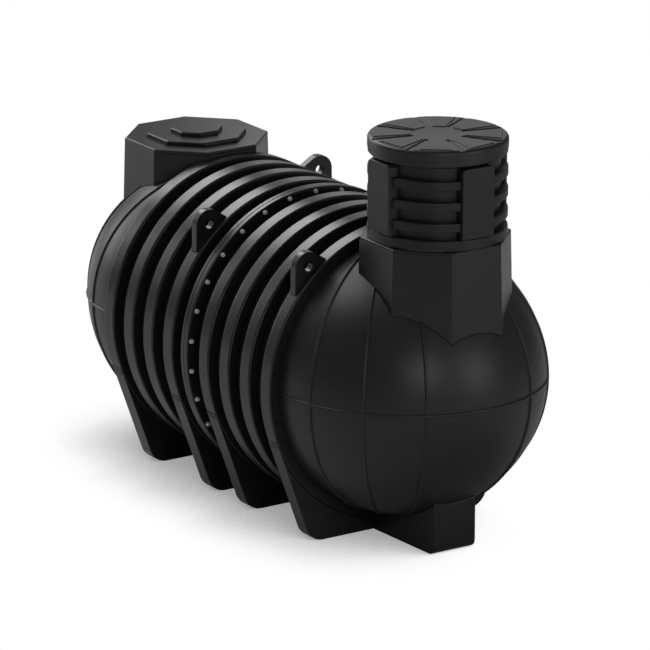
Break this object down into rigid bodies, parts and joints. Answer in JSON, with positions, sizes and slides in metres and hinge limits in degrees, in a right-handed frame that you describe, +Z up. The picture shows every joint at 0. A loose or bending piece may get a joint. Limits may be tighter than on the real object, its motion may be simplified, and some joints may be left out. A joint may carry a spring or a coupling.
{
  "type": "underground fuel tank",
  "caption": "Horizontal ribbed plastic tank of two bolted halves with domed ends, saddle feet, octagonal necks, an access riser and a round lid",
  "frame": {"origin": "on the ground under the middle of the flange", "axes": "+X towards the riser end, +Z up"},
  "size_m": [3.084, 1.514, 2.0691],
  "materials": {
    "shell": "satin moulded polyethylene",
    "riser": "satin moulded polyethylene",
    "lid": "satin moulded polyethylene",
    "gasket": "matte rubber",
    "bolt": "bright zinc"
  },
  "bodies": {
    "root": {"barrel_front": "shell", "barrel_rear": "shell", "barrel_rib_1_front": "shell", "barrel_rib_1_rear": "shell", "barrel_rib_2_front": "shell", "barrel_rib_2_rear": "shell", "barrel_rib_3_front": "shell", "barrel_rib_3_rear": "shell", "barrel_rib_4_front": "shell", "barrel_rib_4_rear": "shell", "end_dome_front": "shell", "end_dome_rear": "shell", "flange_front": "shell", "flange_gasket": "gasket", "flange_rear": "shell", "keel_front": "shell", "keel_rear": "shell", "lid": "lid", "lid_ring": "lid", "lifting_lug_inner_front": "shell", "lifting_lug_inner_rear": "shell", "lifting_lug_outer_front": "shell", "lifting_lug_outer_rear": "shell", "neck_cap_rear": "shell", "neck_cap_step_rear": "shell", "neck_cover_rear": "shell", "neck_front": "shell", "neck_rear": "shell", "neck_rim_front": "shell", "riser": "riser", "riser_pad_far": "riser", "riser_pad_inner": "riser", "riser_pad_near": "riser", "riser_pad_outer": "riser", "riser_ring_1": "riser", "riser_ring_2": "riser", "riser_ring_3": "riser", "riser_ring_base": "riser", "saddle_inner_front": "shell", "saddle_inner_rear": "shell", "saddle_outer_front": "shell", "saddle_outer_rear": "shell"}
  },
  "joints": []
}
